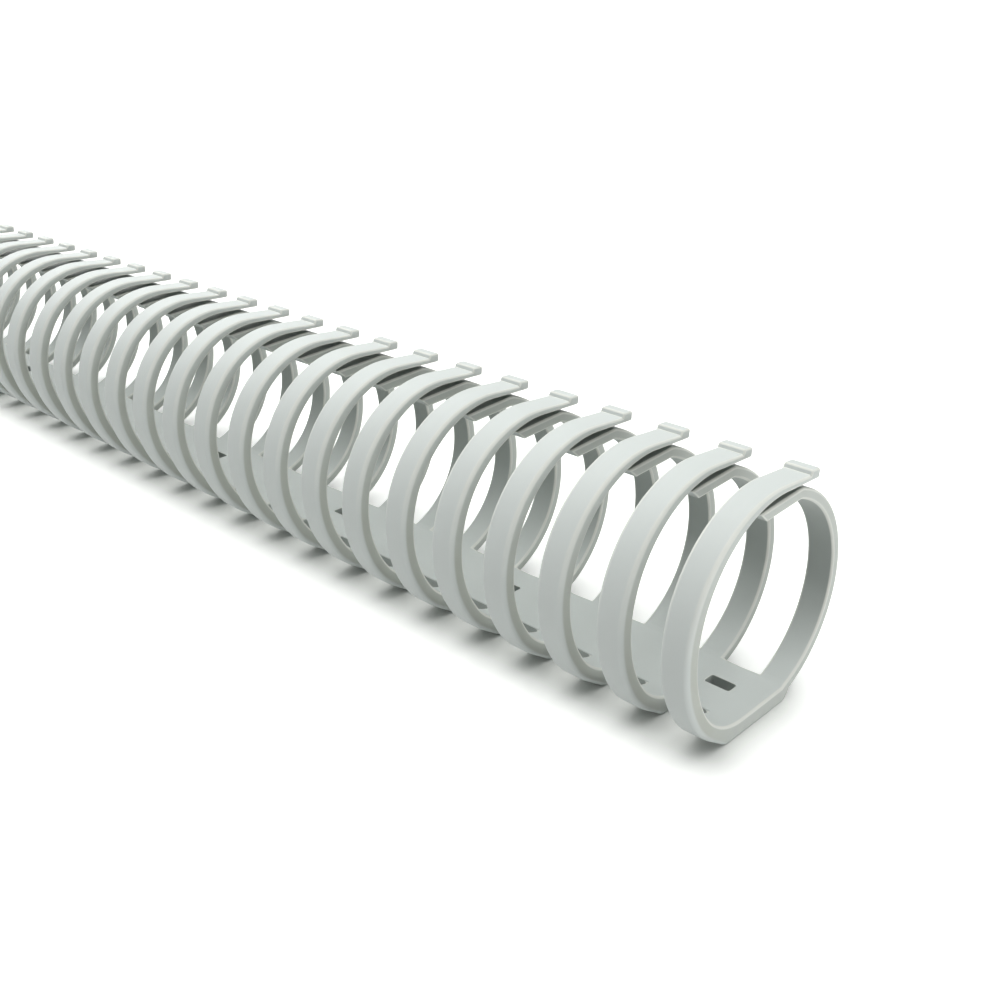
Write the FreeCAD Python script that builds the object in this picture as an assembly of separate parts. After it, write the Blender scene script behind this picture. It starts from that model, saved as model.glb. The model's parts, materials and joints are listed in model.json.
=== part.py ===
import FreeCAD, Part
import math
import os

# A length of flexible round wiring duct. A flat base strip carries a curved finger on each edge,
# and each pair of fingers closes into a ring round the cables.
# Millimetres. X runs along the duct, Y across it, Z up. The origin is on the underside,
# half-way along the duct and at the middle of the base strip.

# Rings
ring_count = 28
pitch = 10.0
ring_width = 35.0            # over the widest points of both fingers
ring_height = 33.6           # from the underside to the crown of an outer finger

# Base strip
base_width = 12.4
band_thickness = 2.3         # the base and the lower half of each outer finger
heel_start = 4.1             # from the middle of the base to where its underside starts to curve up

# Outer fingers, on the -Y side
outer_width = 4.3            # along the duct
outer_root_length = 1.8      # from the edge of the base to the bending line
corner_sweep = 57.0          # degrees of the tighter arc at the foot of the finger
crown_thickness = 1.1
tip_thickness = 0.75         # under the lip
end_slope = 5.5              # degrees that the straight end falls towards its tip
outer_reach = 9.5            # how far the tip passes the middle of the duct
lip_length = 2.1
lip_height = 0.65
outer_opening = 38.0         # degrees that an outer finger swings outward

# Inner fingers, on the +Y side
inner_width = 4.0            # along the duct
inner_thickness = 1.6
inner_root_length = 1.6      # from the edge of the base to the bending line
inner_root_step = 0.15       # inner face above the base's top where it leaves the edge
inner_root_overlap = 0.8     # length of the root that is buried in the base
bend_offset = 6.0            # from the middle of the duct to the bend below the outer finger
tongue_length = 9.6          # from the bend to the tip
tongue_slope = 2.2           # degrees that the tongue falls towards its tip
tongue_cut = 45.0            # degrees that the tip is undercut
inner_opening = 8.0          # degrees that an inner finger swings inward

# Fixing slots along the flat of the base
slot_length = 4.0
slot_width = 2.0
slot_corner = 0.4
slot_offset = 4.8            # behind the middle of its ring
slot_shift = 0.8             # from the middle of the duct towards the inner fingers
rings_per_slot = 4

# Clearances
seat_clearance = 0.08        # round finger root in its hollow seat
tongue_gap = 0.25            # top of the bend below the underside of the outer finger's tip

# Along the duct
duct_length = (ring_count - 1) * pitch + outer_width
first_ring = (duct_length - outer_width) / 2
ring_places = [first_ring - index * pitch for index in range(ring_count)]

half_width = ring_width / 2
half_base = base_width / 2
crown_level = ring_height - half_width


def point(y, z):
    return FreeCAD.Vector(0, y, z)


def ray(degrees):
    # Unit vector across the duct, turned from +Y towards +Z.
    return point(math.cos(math.radians(degrees)), math.sin(math.radians(degrees)))


def arc(centre, radius, start, end):
    middle = (start + end) / 2
    ends = [centre + ray(turn) * radius for turn in (start, middle, end)]
    return Part.Arc(*ends).toShape()


def line(start, end):
    return Part.LineSegment(start, end).toShape()


def polyline(*points):
    return [line(start, end) for start, end in zip(points, points[1:])]


def face(edges):
    return Part.Face(Part.Wire(edges))


def along_duct(profile, place, width):
    # The profile as a solid of that width, centred on a place along the duct.
    moved = profile.translated(FreeCAD.Vector(place - width / 2, 0, 0))
    return moved.extrude(FreeCAD.Vector(width, 0, 0))


def band_piece(centre, outer_radius, thickness, start, end):
    # A stretch of curved band between two angles, cut square at both ends.
    inner_radius = outer_radius - thickness
    return face([
        arc(centre, outer_radius, start, end),
        line(centre + ray(end) * outer_radius, centre + ray(end) * inner_radius),
        arc(centre, inner_radius, end, start),
        line(centre + ray(start) * inner_radius, centre + ray(start) * outer_radius),
    ])


def seat_room(axis, heading, thickness):
    # The room that a finger's round root and the stretch next to it need at one heading.
    radius = thickness / 2 + seat_clearance
    away = ray(heading) * thickness
    side = ray(heading + 90) * radius
    high = axis + side
    low = axis - side
    knuckle = face([Part.makeCircle(radius, axis, FreeCAD.Vector(1, 0, 0))])
    shank = face(polyline(high, high + away, low + away, low, high))
    return knuckle.fuse(shank)


# Outer finger: a tight arc at the foot, a flatter one up the side and the crown, tangent to each other.
# Angles on these circles go clockwise, from 270 degrees at the underside to 180 at the side.
sweep_sine = math.sin(math.radians(corner_sweep))
sweep_cosine = math.cos(math.radians(corner_sweep))
corner_reach = half_width - heel_start
sweep_share = sweep_sine + sweep_cosine - 1
corner_radius = (corner_reach * sweep_cosine - crown_level * (1 - sweep_sine)) / sweep_share
side_radius = (crown_level * sweep_sine - corner_reach * (1 - sweep_cosine)) / sweep_share
corner_centre = point(-heel_start, corner_radius)
side_centre = point(side_radius - half_width, crown_level)
crown_centre = point(0, crown_level)
crown_inner_radius = half_width - crown_thickness
crown_inner_centre = point(band_thickness - crown_thickness, crown_level)
corner_end = 270 - corner_sweep
crown_end = 90 - end_slope

# The root bends about a line in the middle of the band, a little outside the base's edge.
band_middle = corner_radius - band_thickness / 2
base_edge_turn = math.degrees(math.asin((half_base - heel_start) / band_middle))
outer_edge_angle = 270 - base_edge_turn
outer_seat_angle = outer_edge_angle - math.degrees(outer_root_length / band_middle)
outer_seat = corner_centre + ray(outer_seat_angle) * band_middle
outer_heading = outer_seat_angle - 90

# The straight end narrows to its tip. Its underside is a tangent of the crown's inner face.
end_heading = ray(-end_slope)
end_normal = ray(crown_end)
end_top_start = crown_centre + end_normal * half_width
tip_top = end_top_start + end_heading * ((outer_reach - end_top_start.y) / end_heading.y)
tip_under = tip_top - end_normal * tip_thickness
tip_reach = tip_under - crown_inner_centre
tip_direction = math.degrees(math.atan2(tip_reach.z, tip_reach.y))
crown_inner_end = tip_direction + math.degrees(math.acos(crown_inner_radius / tip_reach.Length))
end_under_start = crown_inner_centre + ray(crown_inner_end) * crown_inner_radius

# Inner finger: one arc from the base's edge to the bend. The circle touches the ring's width,
# passes the bend, and its inner face leaves the base just above the base's top edge.
bend = point(bend_offset, tip_under.z - tongue_gap)
inner_half_width = half_width - inner_thickness
inner_root_level = band_thickness + inner_root_step
span_share = (inner_half_width - half_base) / (half_width - bend_offset)
bend_reach = half_width ** 2 - bend_offset ** 2
edge_reach = inner_half_width ** 2 - half_base ** 2
level_square = 1 - span_share
level_half = span_share * bend.z - inner_root_level
level_rest = inner_root_level ** 2 - span_share * bend.z ** 2 - edge_reach + span_share * bend_reach
inner_level = (math.sqrt(level_half ** 2 - level_square * level_rest) - level_half) / level_square
inner_middle = (bend_reach - (bend.z - inner_level) ** 2) / (2 * (half_width - bend_offset))
inner_centre = point(inner_middle, inner_level)
inner_radius = half_width - inner_middle
inner_face_radius = inner_radius - inner_thickness
bend_angle = math.degrees(math.atan2(bend.z - inner_level, bend.y - inner_middle))

# Its bending line, in the middle of its thickness
inner_line_radius = inner_radius - inner_thickness / 2
inner_edge_angle = math.degrees(math.asin((half_base - inner_middle) / inner_line_radius)) - 90
inner_seat_angle = inner_edge_angle + math.degrees(inner_root_length / inner_line_radius)
inner_buried_angle = inner_edge_angle - math.degrees(inner_root_overlap / inner_line_radius)
inner_seat = inner_centre + ray(inner_seat_angle) * inner_line_radius
inner_heading = inner_seat_angle + 90


def outer_finger_profile():
    lip_foot = tip_top - end_heading * lip_length
    lip_start = lip_foot + end_normal * lip_height
    lip_end = tip_top + end_normal * lip_height
    inner_corner_radius = corner_radius - band_thickness
    inner_side_radius = side_radius - band_thickness
    return face([
        arc(outer_seat, band_thickness / 2, outer_seat_angle + 180, outer_seat_angle),
        arc(corner_centre, corner_radius, outer_seat_angle, corner_end),
        arc(side_centre, side_radius, corner_end, 180),
        arc(crown_centre, half_width, 180, crown_end),
        *polyline(end_top_start, lip_foot, lip_start, lip_end, tip_under, end_under_start),
        arc(crown_inner_centre, crown_inner_radius, crown_inner_end, 180),
        arc(side_centre, inner_side_radius, 180, corner_end),
        arc(corner_centre, inner_corner_radius, corner_end, outer_seat_angle),
    ])


def inner_finger_profile():
    tongue_heading = ray(180 + tongue_slope)
    tongue_down = ray(270 + tongue_slope)
    tip = bend + tongue_heading * tongue_length
    undercut = inner_thickness * math.tan(math.radians(tongue_cut))
    tip_below = tip + tongue_down * inner_thickness - tongue_heading * undercut
    # The tongue's underside runs back until it meets the finger's inner face.
    drop = tongue_down.dot(bend + tongue_down * inner_thickness - inner_centre)
    half_chord = math.sqrt(inner_face_radius ** 2 - drop ** 2)
    fold = inner_centre + tongue_down * drop - tongue_heading * half_chord
    fold_angle = math.degrees(math.atan2(fold.z - inner_level, fold.y - inner_middle))
    return face([
        arc(inner_seat, inner_thickness / 2, inner_seat_angle - 180, inner_seat_angle),
        arc(inner_centre, inner_radius, inner_seat_angle, bend_angle),
        *polyline(bend, tip, tip_below, fold),
        arc(inner_centre, inner_face_radius, fold_angle, inner_seat_angle),
    ])


def base_profile():
    inner_corner_radius = corner_radius - band_thickness
    outer_edge = ray(outer_edge_angle)
    right_low = point(half_base, 0)
    right_high = point(half_base, band_thickness)
    return face([
        line(right_low, point(-heel_start, 0)),
        arc(corner_centre, corner_radius, 270, outer_edge_angle),
        line(corner_centre + outer_edge * corner_radius, corner_centre + outer_edge * inner_corner_radius),
        arc(corner_centre, inner_corner_radius, outer_edge_angle, 270),
        *polyline(point(-heel_start, band_thickness), right_high, right_low),
    ])


def outer_root_profile():
    root = band_piece(corner_centre, corner_radius, band_thickness, outer_edge_angle, outer_seat_angle)
    for turn in (0, outer_opening):
        root = root.cut(seat_room(outer_seat, outer_heading + turn, band_thickness))
    return root


def inner_root_profile():
    root = band_piece(inner_centre, inner_radius, inner_thickness, inner_buried_angle, inner_seat_angle)
    for turn in (0, inner_opening):
        root = root.cut(seat_room(inner_seat, inner_heading + turn, inner_thickness))
    return root


def fixing_slot(ring_place):
    middle = ring_place - slot_offset
    corner = FreeCAD.Vector(middle - slot_length / 2, slot_shift - slot_width / 2, 0)
    slot = Part.makeBox(slot_length, slot_width, band_thickness, corner)
    upright = [edge for edge in slot.Edges if edge.BoundBox.ZLength > band_thickness / 2]
    return slot.makeFillet(slot_corner, upright)


def base_strip():
    outer_root = outer_root_profile()
    inner_root = inner_root_profile()
    roots = []
    for place in ring_places:
        roots.append(along_duct(outer_root, place, outer_width))
        roots.append(along_duct(inner_root, place, inner_width))
    strip = along_duct(base_profile(), 0, duct_length).multiFuse(roots).removeSplitter()
    return strip.cut([fixing_slot(place) for place in ring_places[::rings_per_slot]])


def export(shape, node):
    solid = shape.Solids[0]
    assert len(shape.Solids) == 1 and solid.isValid()
    solid.exportStep("parts/" + node + ".step")


os.makedirs("parts", exist_ok=True)
export(base_strip(), "base_strip")
outer_profile = outer_finger_profile()
inner_profile = inner_finger_profile()
for number, place in enumerate(ring_places, 1):
    export(along_duct(outer_profile, place, outer_width), f"outer_finger_{number:02d}")
    export(along_duct(inner_profile, place, inner_width), f"inner_finger_{number:02d}")
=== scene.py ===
import json
import math

import bmesh
import bpy
from mathutils import Matrix, Vector


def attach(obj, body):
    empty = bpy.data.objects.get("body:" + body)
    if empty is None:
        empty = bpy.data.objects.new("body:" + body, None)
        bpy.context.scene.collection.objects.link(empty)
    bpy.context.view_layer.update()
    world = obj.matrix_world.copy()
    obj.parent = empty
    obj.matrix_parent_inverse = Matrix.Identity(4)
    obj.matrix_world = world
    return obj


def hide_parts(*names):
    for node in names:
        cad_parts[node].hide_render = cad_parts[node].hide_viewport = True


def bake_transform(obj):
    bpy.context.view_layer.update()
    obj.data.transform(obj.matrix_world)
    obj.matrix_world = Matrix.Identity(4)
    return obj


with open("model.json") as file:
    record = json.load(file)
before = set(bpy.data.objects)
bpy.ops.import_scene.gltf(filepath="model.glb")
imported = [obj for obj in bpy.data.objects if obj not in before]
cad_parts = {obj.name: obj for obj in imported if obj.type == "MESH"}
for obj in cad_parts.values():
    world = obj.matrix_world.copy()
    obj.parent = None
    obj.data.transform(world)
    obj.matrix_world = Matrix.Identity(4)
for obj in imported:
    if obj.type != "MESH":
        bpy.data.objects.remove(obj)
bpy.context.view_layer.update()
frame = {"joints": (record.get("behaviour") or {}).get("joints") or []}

mm = 0.001
tolerance = 1e-3       # mm, within which two places count as one
cutTolerance = 1e-5    # mm, within which a cut goes through a vertex

# How closely a face points along a direction: the least cosine of the angle between them
straight = 0.99
mainly = 0.9
partly = 0.5

joints = {joint["name"]: joint for joint in frame["joints"]}
ringNumbers = range(1, 1 + sum(name.startswith("outer_root") for name in joints))
ringPlaces = {number: joints[f"outer_root_{number:02d}"]["pos_m"][0] / mm for number in ringNumbers}
pitch = ringPlaces[1] - ringPlaces[2]

# Section across the duct in mm: Y across, Z up from the underside.
# Every piece is modelled in mm and turned into metres when it is done.
section = {
    "ringWidth": 35.0,
    "ringHeight": 33.6,
    "baseWidth": 12.4,
    "bandThickness": 2.3,    # the base and the lower half of an outer finger
    "heelStart": 4.1,        # from the middle to where the underside starts to curve up
    "cornerSweep": 57.0,     # degrees of the tight arc at the foot
    "heelReach": 7.9,        # from the middle to the corner of the heel under that arc
}

halfWidth = section["ringWidth"] / 2
halfBase = section["baseWidth"] / 2
bandThickness = section["bandThickness"]
heelStart = section["heelStart"]
crownLevel = section["ringHeight"] - halfWidth


def across(y, z):
    return Vector((0, y, z))


def ray(degrees):
    return across(math.cos(math.radians(degrees)), math.sin(math.radians(degrees)))


# Foot, side and crown of an outer finger are three arcs, each tangent to the next
sweepSine = math.sin(math.radians(section["cornerSweep"]))
sweepCosine = math.cos(math.radians(section["cornerSweep"]))
sweepShare = sweepSine + sweepCosine - 1
cornerReach = halfWidth - heelStart
cornerRadius = (cornerReach * sweepCosine - crownLevel * (1 - sweepSine)) / sweepShare
sideRadius = (crownLevel * sweepSine - cornerReach * (1 - sweepCosine)) / sweepShare
cornerCentre = across(-heelStart, cornerRadius)
sideCentre = across(sideRadius - halfWidth, crownLevel)
crownCentre = across(0, crownLevel)
cornerEnd = 270 - section["cornerSweep"]
heelTurn = math.atan((section["heelReach"] - heelStart) / cornerRadius)
bandLine = cornerRadius - bandThickness / 2    # middle of the band, round the foot
baseEdgeTurn = math.degrees(math.asin((halfBase - heelStart) / bandLine))


def startEdit(piece):
    bpy.context.view_layer.objects.active = piece
    bpy.ops.object.mode_set(mode="EDIT")
    bpy.ops.mesh.select_mode(type="FACE")


def endEdit():
    bpy.ops.object.mode_set(mode="OBJECT")


def pick(piece, kind, wanted):
    # Selects just the vertices, edges or faces that the test wants, and leaves that select mode on.
    bpy.ops.mesh.select_mode(type=kind)
    bpy.ops.mesh.select_all(action="DESELECT")
    shape = bmesh.from_edit_mesh(piece.data)
    shape.normal_update()
    members = {"VERT": shape.verts, "EDGE": shape.edges, "FACE": shape.faces}[kind]
    for member in members:
        if wanted(member):
            member.select = True
    shape.select_flush_mode()
    bmesh.update_edit_mesh(piece.data)


def faceOutward():
    bpy.ops.mesh.select_all(action="SELECT")
    bpy.ops.mesh.normals_make_consistent(inside=False)


def middle(member):
    return sum((vert.co for vert in member.verts), Vector()) / len(member.verts)


def cut(plane, normal, **options):
    bpy.ops.mesh.bisect(plane_co=plane, plane_no=normal, threshold=cutTolerance, **options)


def spinRound(centre, degrees, step):
    # Carries the selected section round a centre line along X, clockwise seen from +X.
    steps = max(1, round(abs(degrees) / step))
    bpy.ops.mesh.spin(steps=steps, angle=math.radians(degrees), center=centre, axis=(1, 0, 0))


def addSection(centre, radius, thickness, width, degrees):
    # A flat section of the band, square across it, where a finger starts.
    place = centre + ray(degrees) * (radius - thickness / 2)
    bpy.ops.object.select_all(action="DESELECT")
    bpy.ops.mesh.primitive_plane_add(size=1, location=place, rotation=(math.radians(degrees), 0, 0))
    piece = bpy.context.object
    piece.scale = (width, thickness, 1)
    bpy.ops.object.transform_apply(location=True, rotation=True, scale=True)
    startEdit(piece)
    bpy.ops.mesh.select_all(action="SELECT")
    return piece


def squareHeel(piece):
    # The underside stays flat to the corner of the heel.
    # From there a straight stretch leads into the arc.
    shape = bmesh.from_edit_mesh(piece.data)
    for vert in shape.verts:
        arm = across(vert.co.y, vert.co.z) - cornerCentre
        turn = math.atan2(-arm.y, -arm.z)
        if abs(arm.length - cornerRadius) < tolerance and 0 < turn < 2 * heelTurn:
            reach = cornerCentre + arm / math.cos(min(turn, 2 * heelTurn - turn))
            vert.co.yz = reach.yz
    bmesh.update_edit_mesh(piece.data)


def addModifier(piece, kind, **settings):
    modifier = piece.modifiers.new(kind.lower(), kind)
    for name, value in settings.items():
        setattr(modifier, name, value)
    bpy.context.view_layer.objects.active = piece
    bpy.ops.object.modifier_apply(modifier=modifier.name)


# Rounded edges of all the pieces

edges = {
    "radius": 0.4,           # along most edges
    "largestRadius": 0.8,    # along the outer edges of an outer finger, where it is thickest
    "sharpest": 28.0,        # degrees between two faces, from which the edge between them is rounded
    "steps": 4,              # faces across a rounding
    "smoothUpTo": 35.0,      # degrees between two faces, up to which they are shaded as one
}


def roundEdges(piece, radiusAt):
    # Rounds each sharp edge by the radius in mm that its piece gives for it.
    # The rounding's faces go into a second material slot, by which finishPiece knows them.
    startEdit(piece)
    faceOutward()
    sharpest = math.radians(edges["sharpest"])
    shape = bmesh.from_edit_mesh(piece.data)
    shape.normal_update()
    shape.edges.index_update()
    radii = {edge.index: radiusAt(edge) for edge in shape.edges if edge.calc_face_angle(0) > sharpest}
    for radius in sorted(set(radii.values()) - {0.0}):
        pick(piece, "EDGE", lambda edge: radii.get(edge.index) == radius)
        bpy.ops.transform.edge_bevelweight(value=radius / edges["largestRadius"])
    endEdit()
    piece.data.materials.append(None)
    piece.data.materials.append(None)
    addModifier(piece, "BEVEL", limit_method="WEIGHT", width=edges["largestRadius"],
                segments=edges["steps"], use_clamp_overlap=False, material=1)


def finishPiece(piece, name, onCap, shares):
    # Marks the rounded edges for a painted highlight, and side faces and inner faces for painted shade,
    # each by the share that its piece gives.
    # Then shades the piece and makes it metres.
    # A cap is where a finger and its root touch, and it shows no edge.
    piece.name = name
    piece.data.name = name
    shape = bmesh.new()
    shape.from_mesh(piece.data)
    masks = {"edgeMask": [], "sideMask": [], "insideMask": []}
    for vert in shape.verts:
        faces = [face for face in vert.link_faces if not onCap(face)]
        flat = [face for face in faces if face.material_index == 0]
        onSide = any(abs(face.normal.x) > mainly for face in flat)
        for mask, marked in (("edgeMask", not flat), ("sideMask", onSide), ("insideMask", True)):
            masks[mask].append(float(marked and shares[mask](vert)))
    shape.free()
    for mask, values in masks.items():
        piece.data.attributes.new(mask, "FLOAT", "POINT").data.foreach_set("value", values)
    bpy.ops.object.select_all(action="DESELECT")
    piece.select_set(True)
    bpy.context.view_layer.objects.active = piece
    piece.scale = (mm, mm, mm)
    bpy.ops.object.transform_apply(location=True, rotation=True, scale=True)
    bpy.ops.object.shade_smooth_by_angle(angle=math.radians(edges["smoothUpTo"]))
    addModifier(piece, "WEIGHTED_NORMAL", keep_sharp=True)
    return piece


# How the painted shade and highlight change over a finger, with heights as shares of the level of its
# middle

tones = {
    "inward": 0.7,        # least cosine for a face that looks towards the cables
    "shadeFrom": 0.25,     # where painted shade starts on such faces, and where it is full
    "shadeFull": 0.875,
    "highlightFrom": 1.0,      # where the painted highlight starts on the outer edges, and where it is full
    "highlightFull": 1.87,
}


def rising(value, start, full):
    # 0 up to the start, 1 from the full value on and even in between.
    return min(1, max(0, (value - start) / (full - start)))


def towardsMiddle(vert):
    return vert.normal.dot((crownCentre - across(vert.co.y, vert.co.z)).normalized())


def insideShade(vert):
    # Share of painted shade: 1 on the inner faces of a finger above its foot, less further down.
    height = rising(vert.co.z / crownLevel, tones["shadeFrom"], tones["shadeFull"])
    return height if towardsMiddle(vert) > tones["inward"] else 0


def highUp(vert):
    # 0 up to half the height of a finger, 1 near its top.
    return rising(vert.co.z / crownLevel, tones["highlightFrom"], tones["highlightFull"])


def copyAlong(master, name, place):
    # A copy of a finished piece with a mesh of its own, moved along the duct.
    bpy.ops.object.select_all(action="DESELECT")
    master.select_set(True)
    bpy.context.view_layer.objects.active = master
    bpy.ops.object.duplicate(linked=False)
    piece = bpy.context.object
    piece.location.x = place * mm
    bpy.ops.object.transform_apply(location=True, rotation=False, scale=False)
    piece.name = name
    piece.data.name = name
    return piece


# Outer finger, on the -Y side

outerFinger = {
    "width": 4.3,
    "stubLength": 0.8,        # of the root that is left on the base
    "crownThickness": 1.1,
    "tipThickness": 0.75,
    "endSlope": 5.5,          # degrees that the straight end falls
    "reach": 9.5,             # of the tip past the middle of the duct
    "lipLength": 2.1,
    "lipHeight": 0.65,
    "lipSlope": 0.3,          # that its foot leans back over its height
    "lipFootRadius": 0.1,
    "tipRadius": 0.3,         # along the edges of the straight end
    "fullAfter": 5.0,         # from the root to where its outer edges are roundest and the painted shade on its sides darkest
    "sideLoss": 0.8,          # of the painted side shade, lost at the top
    "bendBefore": 1.0,        # stretch of root that flexes, each side of the bending line
    "bendAfter": 1.6,
    "bendLean": 145.0,        # its heading in degrees, steeper than the root, so that the tip lies past it
    "spinStep": 2.5,          # degrees
}
outerStubAngle = 270 - baseEdgeTurn - math.degrees(outerFinger["stubLength"] / bandLine)
crownEnd = 90 - outerFinger["endSlope"]
endHeading = ray(-outerFinger["endSlope"])
endNormal = ray(crownEnd)


def makeOuterFinger():
    size = outerFinger
    piece = addSection(cornerCentre, cornerRadius, bandThickness, size["width"], outerStubAngle)
    spinRound(cornerCentre, outerStubAngle - cornerEnd, size["spinStep"])
    squareHeel(piece)
    spinRound(sideCentre, cornerEnd - 180, size["spinStep"])
    spinRound(crownCentre, 180 - crownEnd, size["spinStep"])

    # The crown's inner face is a larger circle, moved towards the tip, so the band thins
    innerBefore = halfWidth - bandThickness
    innerAfter = halfWidth - size["crownThickness"]
    grow = innerAfter / innerBefore
    onInside = innerBefore + bandThickness / 2
    pick(piece, "VERT", lambda vert: vert.co.z > crownLevel + tolerance
         and (vert.co - crownCentre).yz.length < onInside)
    bpy.ops.transform.resize(value=(1, grow, grow), center_override=crownCentre)
    bpy.ops.transform.translate(value=(0, innerAfter - innerBefore, 0))

    # Straight end in two stretches, up to the lip and under it
    topStart = crownCentre + endNormal * halfWidth
    topEnd = topStart + endHeading * ((size["reach"] - topStart.y) / endHeading.y)
    lipFoot = topEnd - endHeading * size["lipLength"]
    underStart = crownCentre + across(innerAfter - innerBefore, 0) + endNormal * innerAfter
    underEnd = topEnd - endNormal * size["tipThickness"]
    underFoot = underStart.lerp(underEnd, (lipFoot.y - topStart.y) / (topEnd.y - topStart.y))
    faceOutward()
    pick(piece, "FACE", lambda face: face.normal.y > partly and middle(face).y > 0
         and middle(face).z > crownLevel + innerBefore)
    stretches = (
        (lipFoot - topStart, underFoot - underStart),
        (topEnd - lipFoot, underEnd - underFoot),
    )
    for topMove, underMove in stretches:
        bpy.ops.mesh.extrude_region_move(TRANSFORM_OT_translate={"value": topMove})
        shape = bmesh.from_edit_mesh(piece.data)
        fresh = [vert for vert in shape.verts if vert.select]
        level = sum(vert.co.z for vert in fresh) / len(fresh)
        for vert in fresh:
            if vert.co.z < level:
                vert.co += underMove - topMove
        bmesh.update_edit_mesh(piece.data)

    # Lip on the last stretch
    pick(piece, "FACE", lambda face: face.normal.z > mainly and middle(face).y > lipFoot.y)
    bpy.ops.mesh.extrude_region_move(TRANSFORM_OT_translate={"value": endNormal * size["lipHeight"]})
    pick(piece, "VERT", lambda vert: (vert.co - lipFoot).dot(endNormal) > size["lipHeight"] / 2
         and abs((vert.co - lipFoot).dot(endHeading)) < tolerance)
    bpy.ops.transform.translate(value=endHeading * size["lipSlope"])
    endEdit()

    rootFacing = ray(outerStubAngle - 90)
    rootPlace = cornerCentre + ray(outerStubAngle) * bandLine

    def fromRoot(place):
        return rising(rootPlace.y - place.y, 0, size["fullAfter"])

    def onCap(face):
        return face.normal.dot(rootFacing) < -straight and middle(face).z < crownLevel / 2

    def radiusAt(edge):
        ends = [vert.co for vert in edge.verts]
        if any(onCap(face) for face in edge.link_faces):
            return 0.0
        if all((co - lipFoot).yz.length < tolerance for co in ends):
            return size["lipFootRadius"]
        if min(co.y for co in ends) > topStart.y - tolerance:
            return size["tipRadius"]
        outward = any(abs(face.normal.x) < partly and face.normal.dot(middle(face) - crownCentre) > 0
                      for face in edge.link_faces)
        if not outward:
            return edges["radius"]
        # The outer edges are rounder, but not at the root and towards the thin end
        place = middle(edge)
        share = fromRoot(place)
        if place.z > crownLevel:
            share = 1 - math.degrees(math.atan2(place.z - crownLevel, -place.y)) / (180 - crownEnd)
        radius = edges["radius"] + share * (edges["largestRadius"] - edges["radius"])
        return round(radius, 2)   # so that there are few different ones

    def edgeHighlightShare(vert):
        # Painted highlight all along the inner edges, but only high up along the outer ones
        return 1 if towardsMiddle(vert) > 0 else highUp(vert)

    def sideShadeShare(vert):
        # Painted side shade: as on the base at the root, most above it and least at the top
        if vert.co.z > crownLevel:
            return 1 - size["sideLoss"] * highUp(vert)
        return baseStrip["sideShadeShare"] + (1 - baseStrip["sideShadeShare"]) * fromRoot(vert.co)

    roundEdges(piece, radiusAt)
    # Painted highlight on its edges, painted shade on its sides and on the faces towards the cables
    return finishPiece(piece, "outerFingerMaster", onCap, {
        "edgeMask": edgeHighlightShare,
        "sideMask": sideShadeShare,
        "insideMask": insideShade,
    })


# Inner finger, on the +Y side

innerFinger = {
    "width": 4.0,
    "thickness": 1.6,
    "stubLength": 0.7,        # of the root that is left on the base
    "rootRise": 0.15,         # of its inner face above the base's top edge
    "bendOffset": 6.0,        # from the middle of the duct to the corner of the bend
    "bendLevel": 31.77,
    "bendRadius": 3.0,
    "tongueLength": 9.6,
    "tongueSlope": 2.2,       # degrees that the tongue falls towards its tip
    "tongueCut": 45.0,        # degrees that its tip is undercut
    "tongueRadius": 0.2,      # along the edges of the tongue
    "sideShadeShare": 0.6,         # of the painted side shade
    "bendBefore": 0.9,        # stretch of root that flexes, each side of the bending line
    "bendAfter": 1.4,
    "bendLean": 35.0,         # its heading in degrees
    "spinStep": 2.5,          # degrees
}
innerThickness = innerFinger["thickness"]
innerBend = across(innerFinger["bendOffset"], innerFinger["bendLevel"])

# Its one arc touches the ring's width, passes the bend and leaves the base at the top edge
innerHalfWidth = halfWidth - innerThickness
rootLevel = bandThickness + innerFinger["rootRise"]
spanShare = (innerHalfWidth - halfBase) / (halfWidth - innerBend.y)
bendReach = halfWidth ** 2 - innerBend.y ** 2
edgeReach = innerHalfWidth ** 2 - halfBase ** 2
levelSquare = 1 - spanShare
levelHalf = spanShare * innerBend.z - rootLevel
levelRest = rootLevel ** 2 - spanShare * innerBend.z ** 2 - edgeReach + spanShare * bendReach
innerLevel = (math.sqrt(levelHalf ** 2 - levelSquare * levelRest) - levelHalf) / levelSquare
innerMiddle = (bendReach - (innerBend.z - innerLevel) ** 2) / (2 * (halfWidth - innerBend.y))
innerCentre = across(innerMiddle, innerLevel)
innerRadius = halfWidth - innerMiddle
innerFaceRadius = innerRadius - innerThickness
innerLine = innerRadius - innerThickness / 2
innerEdgeAngle = math.degrees(math.asin((halfBase - innerMiddle) / innerLine)) - 90
innerStubAngle = innerEdgeAngle + math.degrees(innerFinger["stubLength"] / innerLine)

# The bend is a small arc that touches the large one and the top of the tongue
tongueHeading = ray(180 + innerFinger["tongueSlope"])
tongueDown = ray(270 + innerFinger["tongueSlope"])
bendRadius = innerFinger["bendRadius"]
toBend = innerBend + tongueDown * bendRadius - innerCentre
alongBend = toBend.dot(tongueHeading)
backSquare = alongBend ** 2 - toBend.length_squared + (innerRadius - bendRadius) ** 2
bendCentre = innerCentre + toBend + tongueHeading * (-alongBend - math.sqrt(backSquare))
bendStart = math.degrees(math.atan2(bendCentre.z - innerLevel, bendCentre.y - innerMiddle))
bendEnd = 90 + innerFinger["tongueSlope"]


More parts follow.
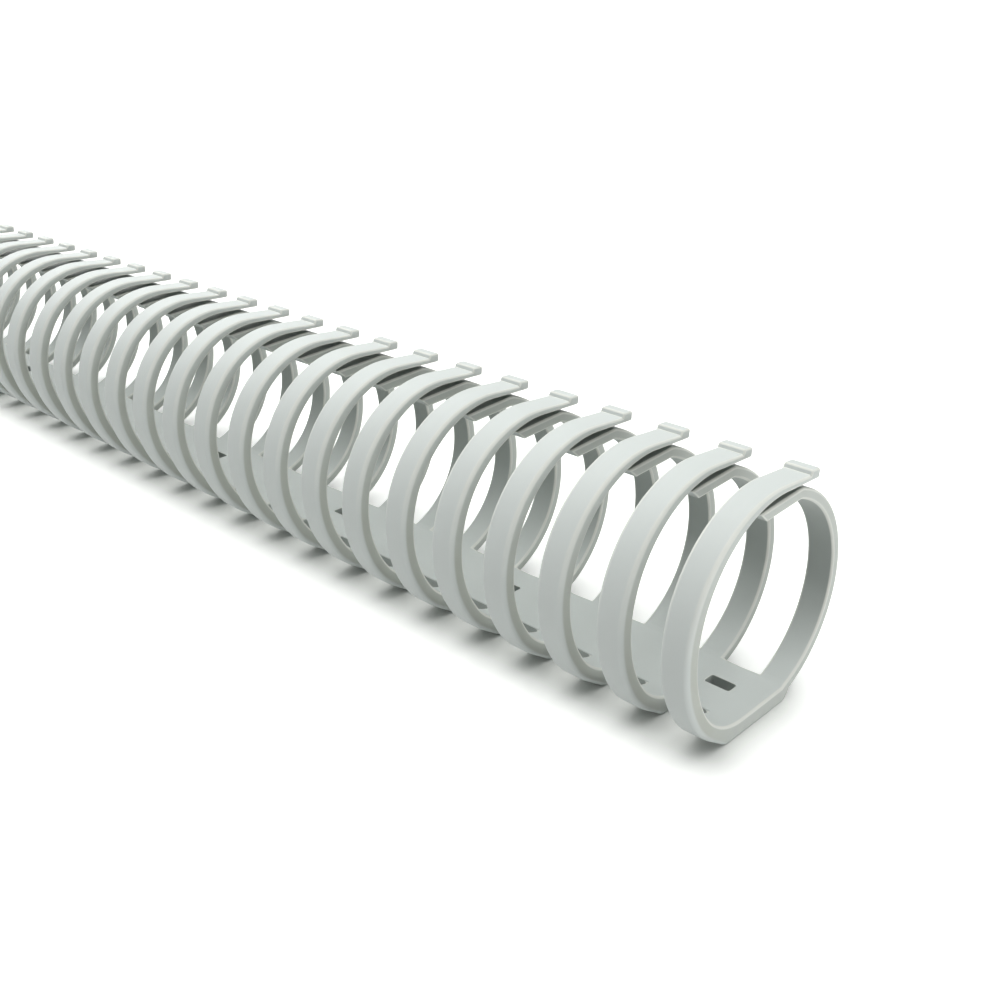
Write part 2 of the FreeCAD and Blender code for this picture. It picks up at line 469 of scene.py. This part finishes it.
def makeInnerFinger():
    size = innerFinger
    piece = addSection(innerCentre, innerRadius, innerThickness, size["width"], innerStubAngle)
    spinRound(innerCentre, innerStubAngle - bendStart, size["spinStep"])
    spinRound(bendCentre, bendStart - bendEnd, size["spinStep"])

    # Tongue: the end section is drawn out, and its lower edge stops short of the tip
    tip = innerBend + tongueHeading * size["tongueLength"]
    tongueStart = bendCentre - tongueDown * bendRadius
    undercut = innerThickness * math.tan(math.radians(size["tongueCut"]))
    faceOutward()
    pick(piece, "FACE", lambda face: face.normal.dot(tongueHeading) > straight
         and middle(face).z > crownLevel + innerFaceRadius / 2)
    bpy.ops.mesh.extrude_region_move(TRANSFORM_OT_translate={"value": tip - tongueStart})
    pick(piece, "VERT", lambda vert: vert.co.y < 0 and vert.co.z < tip.z - innerThickness / 2)
    bpy.ops.transform.translate(value=-tongueHeading * undercut)
    endEdit()

    rootFacing = ray(innerStubAngle + 90)

    def onCap(face):
        return face.normal.dot(rootFacing) < -straight and middle(face).z < crownLevel / 2

    def radiusAt(edge):
        if any(onCap(face) for face in edge.link_faces):
            return 0.0
        onTongue = max(vert.co.y for vert in edge.verts) < 0
        return size["tongueRadius"] if onTongue else edges["radius"]

    def inside(vert):
        # Painted shade on the inner face, and on the top of the tongue
        return insideShade(vert) or (vert.co.y < innerBend.y and vert.normal.z > partly)

    roundEdges(piece, radiusAt)
    # Painted highlight on all its rounded edges, painted shade on its sides and on the faces towards the
    # cables
    return finishPiece(piece, "innerFingerMaster", onCap, {
        "edgeMask": lambda vert: 1,
        "sideMask": lambda vert: size["sideShadeShare"],
        "insideMask": inside,
    })


# Base strip: one pitch of it is modelled and repeated

baseStrip = {
    "heelStep": 3.0,          # degrees between the sections of the heel, and of the outer roots on it
    "stubStep": 2.0,
    "rampLength": 0.8,        # of the base's top that rises into an inner root
    "endTrim": 0.01,          # of the strip's ends behind the sides of the end fingers
    "slotLength": 4.0,
    "slotWidth": 2.0,
    "slotCorner": 0.4,
    "slotCornerSteps": 5,
    "slotOffset": 4.8,        # behind the middle of its ring
    "slotShift": 0.8,         # from the middle of the duct towards the inner fingers
    "slotRadius": 0.1,        # along the edges of the slots and under the ends of the strip
    "ringsPerSlot": 4,
    "sideShadeShare": 0.5,         # of the painted side shade on its ends
    "wallSlant": 0.8,         # most that the normal of a slot's wall leans up or down
    "notchFacing": 0.6,       # least cosine for a wall between the outer roots
}


def makeBase():
    size = baseStrip
    outerHalf = outerFinger["width"] / 2
    innerHalf = innerFinger["width"] / 2
    rampStart = halfBase - size["rampLength"]
    bpy.ops.object.select_all(action="DESELECT")
    bpy.ops.mesh.primitive_cube_add(size=1, location=(0, (halfBase - heelStart) / 2, bandThickness / 2))
    piece = bpy.context.object
    piece.scale = (pitch, halfBase + heelStart, bandThickness)
    bpy.ops.object.transform_apply(location=True, rotation=True, scale=True)
    startEdit(piece)
    bpy.ops.mesh.select_all(action="SELECT")
    cut((0, 0, 0), (0, 1, 0))
    pick(piece, "FACE", lambda face: middle(face).y > 0)
    cut((0, rampStart, 0), (0, 1, 0))
    for side in (-1, 1):
        pick(piece, "FACE", lambda face: middle(face).y < 0)
        cut((side * outerHalf, 0, 0), (1, 0, 0))
        pick(piece, "FACE", lambda face: middle(face).y > 0)
        cut((side * innerHalf, 0, 0), (1, 0, 0))

    # Heel that curves up to the -Y edge, and the outer finger's root on it
    pick(piece, "FACE", lambda face: face.normal.y < -mainly)
    spinRound(cornerCentre, baseEdgeTurn, size["heelStep"])
    heelFacing = ray(270 - baseEdgeTurn - 90)
    pick(piece, "FACE", lambda face: face.normal.dot(heelFacing) > straight
         and abs(middle(face).x) < outerHalf)
    spinRound(cornerCentre, 270 - baseEdgeTurn - outerStubAngle, size["stubStep"])
    squareHeel(piece)

    # Inner finger's root: the base's top rises into it, and its underside slants up from the lower edge
    pick(piece, "VERT", lambda vert: vert.co.y > halfBase - tolerance
         and vert.co.z > bandThickness - tolerance and abs(vert.co.x) < innerHalf + tolerance)
    bpy.ops.transform.translate(value=(0, 0, innerFinger["rootRise"]))
    pick(piece, "FACE", lambda face: face.normal.y > mainly and abs(middle(face).x) < innerHalf)
    stubLow = innerCentre + ray(innerStubAngle) * innerRadius
    stubHigh = innerCentre + ray(innerStubAngle) * innerFaceRadius
    lowMove = stubLow - across(halfBase, 0)
    bpy.ops.mesh.extrude_region_move(TRANSFORM_OT_translate={"value": lowMove})
    pick(piece, "VERT", lambda vert: vert.co.y > halfBase + tolerance and vert.co.z > bandThickness)
    bpy.ops.transform.translate(value=stubHigh - across(halfBase, rootLevel) - lowMove)
    pick(piece, "FACE", lambda face: abs(face.normal.x) > mainly
         and abs(middle(face).x) > pitch / 2 - tolerance)
    bpy.ops.mesh.delete(type="FACE")
    endEdit()

    # Whole length, cut level with the first and last outer fingers and drawn in to the inner ones
    lastRing = max(ringPlaces.values())
    stripEnd = lastRing + outerHalf - size["endTrim"]
    piece.location.x = -lastRing
    bpy.ops.object.transform_apply(location=True, rotation=True, scale=True)
    addModifier(piece, "ARRAY", count=len(ringPlaces), use_relative_offset=False, use_constant_offset=True,
                constant_offset_displace=(pitch, 0, 0), use_merge_vertices=True, merge_threshold=tolerance)
    startEdit(piece)
    for side in (-1, 1):
        bpy.ops.mesh.select_all(action="SELECT")
        cut((side * stripEnd, 0, 0), (side, 0, 0), use_fill=True, clear_outer=True)
        pick(piece, "FACE", lambda face: abs(middle(face).x) > stripEnd - tolerance)
        cut((0, rampStart, 0), (0, 1, 0))
        pick(piece, "VERT", lambda vert: vert.co.x * side > stripEnd - tolerance
             and vert.co.y > halfBase - tolerance)
        bpy.ops.transform.translate(value=(side * (lastRing + innerHalf - stripEnd), 0, 0))
    bpy.ops.mesh.select_all(action="SELECT")
    bpy.ops.mesh.remove_doubles(threshold=2 * size["endTrim"])

    def splitsEnd(edge):
        # A level edge beside an end inner finger, left over where the strip was drawn in
        level = abs(edge.verts[0].co.z - edge.verts[1].co.z) < bandThickness / 2
        return level and all(
            abs(abs(vert.co.x) - lastRing - innerHalf) < tolerance and vert.co.y < halfBase + tolerance
            for vert in edge.verts)

    pick(piece, "EDGE", splitsEnd)
    bpy.ops.mesh.dissolve_edges()
    endEdit()
    cutSlots(piece)

    outerCap = ray(outerStubAngle - 90)
    innerCap = ray(innerStubAngle + 90)

    def onCap(face):
        place = middle(face)
        cap = outerCap if place.y < 0 else innerCap
        return abs(place.y) > halfBase and face.normal.dot(cap) > straight

    def radiusAt(edge):
        place = middle(edge)
        if any(onCap(face) for face in edge.link_faces):
            return 0.0
        if abs(place.x) < lastRing and abs(place.y - size["slotShift"]) < size["slotWidth"]:
            return size["slotRadius"]
        if place.z < tolerance and place.y > -heelStart:
            return size["slotRadius"] if abs(place.x) > lastRing + innerHalf else 0.0
        return edges["radius"]

    def inside(vert):
        # Painted shade on the walls of the slots, and of the notches between the outer roots
        if abs(vert.co.x) > lastRing:
            return False
        if abs(vert.co.y - size["slotShift"]) < size["slotWidth"] / 2 + tolerance:
            return abs(vert.normal.z) < size["wallSlant"]
        nearEdge = abs(vert.co.y + halfBase) < outerFinger["stubLength"] / 2
        return nearEdge and vert.normal.dot(heelFacing) > size["notchFacing"]

    roundEdges(piece, radiusAt)
    # Painted highlight along its upward rounded edges, painted side shade on its ends, painted shade in
    # its slots and notches
    return finishPiece(piece, "baseStripPlastic", onCap, {
        "edgeMask": lambda vert: vert.normal.z > 0,
        "sideMask": lambda vert: size["sideShadeShare"],
        "insideMask": inside,
    })


def cutSlots(piece):
    size = baseStrip
    slotPlace = ringPlaces[1] - size["slotOffset"]
    slotCount = math.ceil(len(ringPlaces) / size["ringsPerSlot"])
    bpy.ops.object.select_all(action="DESELECT")
    bpy.ops.mesh.primitive_cube_add(size=1, location=(slotPlace, size["slotShift"], bandThickness / 2))
    cutter = bpy.context.object
    cutter.scale = (size["slotLength"], size["slotWidth"], bandThickness * 3)   # well past both faces
    bpy.ops.object.transform_apply(location=True, rotation=True, scale=True)
    startEdit(cutter)
    pick(cutter, "EDGE", lambda edge: abs(edge.verts[0].co.z - edge.verts[1].co.z) > bandThickness)
    bpy.ops.mesh.bevel(offset=size["slotCorner"], segments=size["slotCornerSteps"], affect="EDGES")
    endEdit()
    addModifier(cutter, "ARRAY", count=slotCount, use_relative_offset=False, use_constant_offset=True,
                constant_offset_displace=(-pitch * size["ringsPerSlot"], 0, 0))
    addModifier(piece, "BOOLEAN", object=cutter, operation="DIFFERENCE", solver="EXACT")
    bpy.data.objects.remove(cutter)


# Plastic of the whole duct

plastic = {
    "colour": (0.58, 0.62, 0.598),
    "sideColour": (0.45, 0.476, 0.425),      # painted shade on the sides of fingers, warmer in tint
    "insideColour": (0.35, 0.382, 0.362),    # painted shade on the faces towards the cables and in the slots and notches
    "edgeColour": (0.74, 0.755, 0.695),      # painted highlight, paler along the rounded edges
    "leastShares": {"side": 0.7, "inside": 0.85, "edge": 0.5},    # of these three painted marks, where the patches thin them
    "mottle": 0.02,                          # how far large soft patches differ in brightness
    "mottleNoise": (9.0 * mm, 3),            # size of the patches and detail in them, here and below
    "paintedLightNoise": (3.0 * mm, 4),
    "glossNoise": (1.5 * mm, 5),
    "grainNoise": (0.25 * mm, 4),
    "grainDepth": 0.004 * mm,
    "roughness": (0.46, 0.58),
    "ior": 1.47,
    "specular": 0.3,
}


def makePlastic():
    material = bpy.data.materials.new("greyDuctPlastic")
    material.use_nodes = True
    nodes = material.node_tree.nodes
    links = material.node_tree.links
    shader = nodes["Principled BSDF"]
    shader.inputs["IOR"].default_value = plastic["ior"]
    shader.inputs["Specular IOR Level"].default_value = plastic["specular"]
    place = nodes.new("ShaderNodeTexCoord").outputs["Object"]

    def noise(size, detail):
        node = nodes.new("ShaderNodeTexNoise")
        node.inputs["Scale"].default_value = 1 / size
        node.inputs["Detail"].default_value = detail
        links.new(place, node.inputs["Vector"])
        return node.outputs["Fac"]

    def spread(source, low, high):
        node = nodes.new("ShaderNodeMapRange")
        node.inputs["To Min"].default_value = low
        node.inputs["To Max"].default_value = high
        links.new(source, node.inputs["Value"])
        return node.outputs["Result"]

    def mask(name, patches):
        # A mark of painted highlight or shade that finishPiece left on the piece, uneven by the patches
        node = nodes.new("ShaderNodeAttribute")
        node.attribute_name = name
        share = nodes.new("ShaderNodeMath")
        share.operation = "MULTIPLY"
        links.new(node.outputs["Fac"], share.inputs[0])
        links.new(patches, share.inputs[1])
        return share.outputs["Value"]

    def mix(share, first, second):
        node = nodes.new("ShaderNodeMix")
        node.data_type = "RGBA"
        links.new(share, node.inputs["Factor"])
        for socket, value in (("A", first), ("B", second)):
            target = next(s for s in node.inputs if s.name == socket and s.type == "RGBA")
            if isinstance(value, bpy.types.NodeSocket):
                links.new(value, target)
            else:
                target.default_value = (*value, 1)
        return next(s for s in node.outputs if s.type == "RGBA")

    darker = tuple(part * (1 - plastic["mottle"]) for part in plastic["colour"])
    lighter = tuple(part * (1 + plastic["mottle"]) for part in plastic["colour"])
    colour = mix(noise(*plastic["mottleNoise"]), darker, lighter)
    paintedLightPatches = noise(*plastic["paintedLightNoise"])
    # Painted highlight along the edges, painted shade on the sides and on the faces towards the cables
    for name, least in plastic["leastShares"].items():
        colour = mix(mask(name + "Mask", spread(paintedLightPatches, least, 1.0)), colour, plastic[name + "Colour"])
    links.new(colour, shader.inputs["Base Color"])
    gloss = noise(*plastic["glossNoise"])
    links.new(spread(gloss, *plastic["roughness"]), shader.inputs["Roughness"])

    grain = nodes.new("ShaderNodeBump")
    grain.inputs["Distance"].default_value = plastic["grainDepth"]
    links.new(noise(*plastic["grainNoise"]), grain.inputs["Height"])
    links.new(grain.outputs["Normal"], shader.inputs["Normal"])
    return material


def dress(piece, material):
    piece.data.materials.clear()
    piece.data.materials.append(material)


def rideFinger(piece, kind, number, size):
    # Hides the imported finger that this piece stands in for, and bakes the piece's place into its mesh.
    node = f"{kind}_finger_{number:02d}"
    along = ray(size["bendLean"])
    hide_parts(node)
    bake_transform(piece)


material = makePlastic()
base = makeBase()
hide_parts("base_strip")
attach(base, "base")
dress(base, material)
print("base strip", len(base.data.polygons), "faces")

outerMaster = makeOuterFinger()
innerMaster = makeInnerFinger()
for number, place in ringPlaces.items():
    for kind, master, size in (("outer", outerMaster, outerFinger), ("inner", innerMaster, innerFinger)):
        finger = copyAlong(master, f"{kind}FingerPlastic_{number:02d}", place)
        dress(finger, material)
        rideFinger(finger, kind, number, size)
print("fingers", len(outerMaster.data.polygons), "and", len(innerMaster.data.polygons), "faces each")
bpy.data.objects.remove(outerMaster)
bpy.data.objects.remove(innerMaster)


# Floor, light and camera

studio = {
    "floorSize": 6.0,                    # metres
    "floorDrop": 0.02 * mm,              # of the floor under the duct
    "floorBounce": (0.8, 0.8, 0.8),      # how it lights the duct
    "floorColour": (0.85, 0.87, 0.84),   # how it looks
    "paintedFloorGlow": 0.40,                   # painted light added to the look of the floor away from the duct, which fades its shadow there
    "glowNear": 0.5 * mm,                # from the base's outline to where that starts and is full
    "glowFar": 9.0 * mm,
    "glowShift": 3.0 * mm,               # of that outline towards the outer fingers, where the shadow lies
    "worldLight": 0.06,                  # how the backdrop lights the duct, and how it looks
    "worldLook": 1.0,
    "lamps": {                           # strength, angle in degrees and where the light comes from
        "backLight": (2.1, 60.0, (-1.0, 0.15, 0.9)),
        "overheadLight": (2.1, 60.0, (0.05, 0.0, 1.0)),
        "frontLight": (1.8, 30.0, (1.0, 0.0, 0.04)),
        "sideLight": (0.15, 40.0, (0.0, -1.0, 0.1)),
    },
}


def seenDirectly(nodes, links):
    # 1 for what the camera sees, also mirrored or through something clear, and 0 for light on the duct.
    path = nodes.new("ShaderNodeLightPath")
    seen = path.outputs["Is Camera Ray"]
    for kind in ("Is Glossy Ray", "Is Transmission Ray"):
        either = nodes.new("ShaderNodeMath")
        either.operation = "MAXIMUM"
        links.new(seen, either.inputs[0])
        links.new(path.outputs[kind], either.inputs[1])
        seen = either.outputs["Value"]
    return seen


def makeFloor():
    bpy.ops.object.select_all(action="DESELECT")
    bpy.ops.mesh.primitive_plane_add(size=studio["floorSize"], location=(0, 0, -studio["floorDrop"]))
    floor = bpy.context.object
    floor.name = "studioFloor"
    paper = bpy.data.materials.new("palePaper")
    paper.use_nodes = True
    nodes = paper.node_tree.nodes
    links = paper.node_tree.links
    nodes.clear()
    output = nodes.new("ShaderNodeOutputMaterial")
    bounce = nodes.new("ShaderNodeBsdfDiffuse")
    bounce.inputs["Color"].default_value = (*studio["floorBounce"], 1)
    look = nodes.new("ShaderNodeBsdfDiffuse")
    look.inputs["Color"].default_value = (*studio["floorColour"], 1)

    # Painted glow by the distance from the outline of the base, which leaves the duct's shadow only near
    # it
    away = nodes.new("ShaderNodeTexCoord").outputs["Object"]
    steps = (
        ("ADD", (0, studio["glowShift"], 0)),
        ("ABSOLUTE", None),
        ("SUBTRACT", (max(ringPlaces.values()) * mm, halfBase * mm, 0)),
        ("MAXIMUM", (0, 0, 0)),
        ("LENGTH", None),
    )
    for operation, value in steps:
        node = nodes.new("ShaderNodeVectorMath")
        node.operation = operation
        links.new(away, node.inputs[0])
        if value:
            node.inputs[1].default_value = value
        away = node.outputs["Value" if operation == "LENGTH" else "Vector"]
    fade = nodes.new("ShaderNodeMapRange")
    fade.interpolation_type = "SMOOTHSTEP"
    fade.inputs["From Min"].default_value = studio["glowNear"]
    fade.inputs["From Max"].default_value = studio["glowFar"]
    fade.inputs["To Max"].default_value = studio["paintedFloorGlow"]
    links.new(away, fade.inputs["Value"])
    glow = nodes.new("ShaderNodeEmission")
    links.new(fade.outputs["Result"], glow.inputs["Strength"])

    bright = nodes.new("ShaderNodeAddShader")
    links.new(look.outputs["BSDF"], bright.inputs[0])
    links.new(glow.outputs["Emission"], bright.inputs[1])
    blend = nodes.new("ShaderNodeMixShader")
    links.new(seenDirectly(nodes, links), blend.inputs["Fac"])
    links.new(bounce.outputs["BSDF"], blend.inputs[1])
    links.new(bright.outputs["Shader"], blend.inputs[2])
    links.new(blend.outputs["Shader"], output.inputs["Surface"])
    floor.data.materials.append(paper)


def makeLight():
    world = bpy.data.worlds.new("studioLight")
    bpy.context.scene.world = world
    world.use_nodes = True
    nodes = world.node_tree.nodes
    links = world.node_tree.links
    nodes.clear()
    output = nodes.new("ShaderNodeOutputWorld")
    blend = nodes.new("ShaderNodeMixShader")
    links.new(seenDirectly(nodes, links), blend.inputs["Fac"])
    for socket, strength in ((1, studio["worldLight"]), (2, studio["worldLook"])):
        backdrop = nodes.new("ShaderNodeBackground")
        backdrop.inputs["Color"].default_value = (1, 1, 1, 1)
        backdrop.inputs["Strength"].default_value = strength
        links.new(backdrop.outputs["Background"], blend.inputs[socket])
    links.new(blend.outputs["Shader"], output.inputs["Surface"])
    for name, (strength, angle, source) in studio["lamps"].items():
        bpy.ops.object.light_add(type="SUN", location=Vector(source))
        lamp = bpy.context.object
        lamp.name = name
        lamp.data.energy = strength
        lamp.data.angle = math.radians(angle)
        lamp.rotation_euler = Vector(source).to_track_quat("Z", "Y").to_euler()


viewpoint = {
    "place": (204.38, -117.14, 94.43),    # mm
    "azimuth": 44.39,                     # degrees, like the next two
    "elevation": 25.18,
    "roll": -1.14,
    "focalPixels": 1193.4,
    "imagePixels": 1000,
    "sensor": 36.0,
    "clipStart": 5.0 * mm,
}


def makeCamera():
    bpy.ops.object.camera_add()
    camera = bpy.context.object
    camera.name = "photoCamera"
    turn = Matrix.Rotation(math.radians(viewpoint["azimuth"]), 4, "Z")
    tilt = Matrix.Rotation(math.radians(90 - viewpoint["elevation"]), 4, "X")
    roll = Matrix.Rotation(math.radians(viewpoint["roll"]), 4, "Z")
    camera.matrix_world = Matrix.Translation(Vector(viewpoint["place"]) * mm) @ turn @ tilt @ roll
    camera.data.sensor_width = viewpoint["sensor"]
    camera.data.lens = viewpoint["sensor"] * viewpoint["focalPixels"] / viewpoint["imagePixels"]
    camera.data.clip_start = viewpoint["clipStart"]
    bpy.context.scene.camera = camera


makeFloor()
makeLight()
makeCamera()
bpy.context.scene.view_settings.view_transform = "Standard"
print("studio ready")
